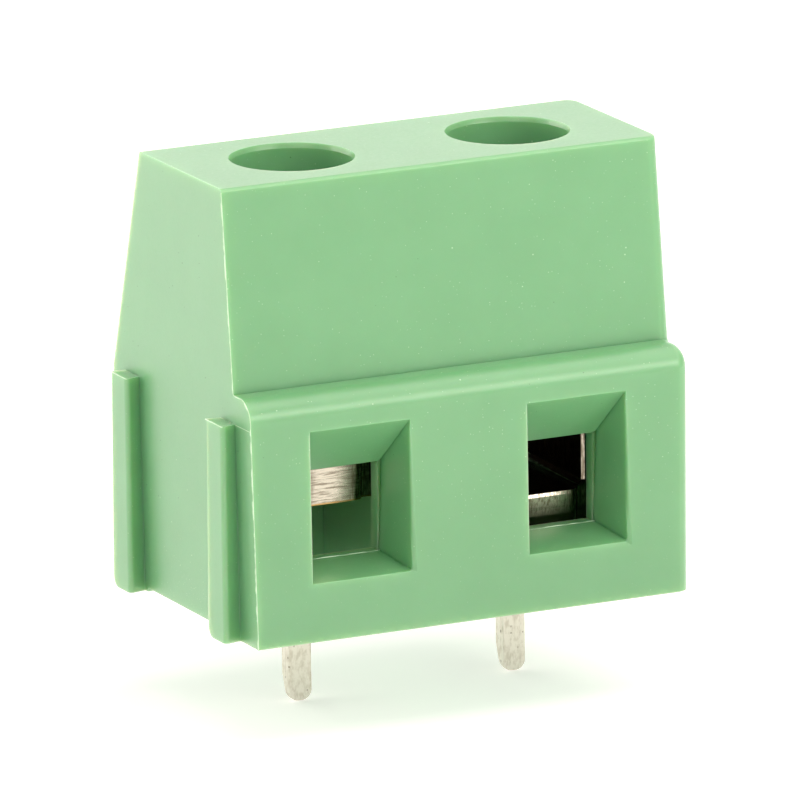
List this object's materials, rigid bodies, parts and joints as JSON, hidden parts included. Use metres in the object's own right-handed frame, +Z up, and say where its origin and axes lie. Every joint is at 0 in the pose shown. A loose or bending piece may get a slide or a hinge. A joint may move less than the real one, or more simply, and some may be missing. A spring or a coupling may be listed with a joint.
{
  "type": "pcb terminal block",
  "caption": "Green moulded screw terminal block for a circuit board: square wire funnels in a shouldered front, rising cage clamps, top screw holes and solder pins.",
  "frame": {"origin": "on the board's surface, midway between the two solder pins", "axes": "+Z up out of the board along the screws, wires enter along +Y from the front (-Y), +X from pole 1 to pole 2"},
  "size_m": [0.0157, 0.0101, 0.0176],
  "materials": {
    "moulded_housing": "satin moulded polyamide, slightly translucent",
    "plated_cage": "nickel plated, brushed",
    "plated_screw": "zinc plated",
    "tinned_contact": "matt tin plated"
  },
  "bodies": {
    "housing": {"housing": "moulded_housing", "contact_1": "tinned_contact", "contact_2": "tinned_contact"},
    "clamp_cage_1": {"clamp_cage_1": "plated_cage"},
    "clamp_cage_2": {"clamp_cage_2": "plated_cage"},
    "clamp_screw_1": {"clamp_screw_1": "plated_screw"},
    "clamp_screw_2": {"clamp_screw_2": "plated_screw"}
  },
  "joints": [
    {"name": "screw_1_turn", "type": "hinge", "parent": "housing", "child": "clamp_screw_1", "pos_m": [-0.00375, -0.00023, 0.0105], "axis": [0, 0, 1], "range_deg": [-288.2, 1496.2]},
    {"name": "cage_1_lift", "type": "slide", "parent": "housing", "child": "clamp_cage_1", "axis": [0, 0, 1], "range_m": [-0.00187, 0.00036]},
    {"name": "screw_2_turn", "type": "hinge", "parent": "housing", "child": "clamp_screw_2", "pos_m": [0.00375, -0.00023, 0.0105], "axis": [0, 0, 1], "range_deg": [-1784.2, 0.2]},
    {"name": "cage_2_lift", "type": "slide", "parent": "housing", "child": "clamp_cage_2", "axis": [0, 0, 1], "range_m": [0, 0.00223]}
  ],
  "couplings": [
    {"joint": "screw_1_turn", "follows": "cage_1_lift", "rad_per_m": -13963},
    {"joint": "screw_2_turn", "follows": "cage_2_lift", "rad_per_m": -13963}
  ]
}
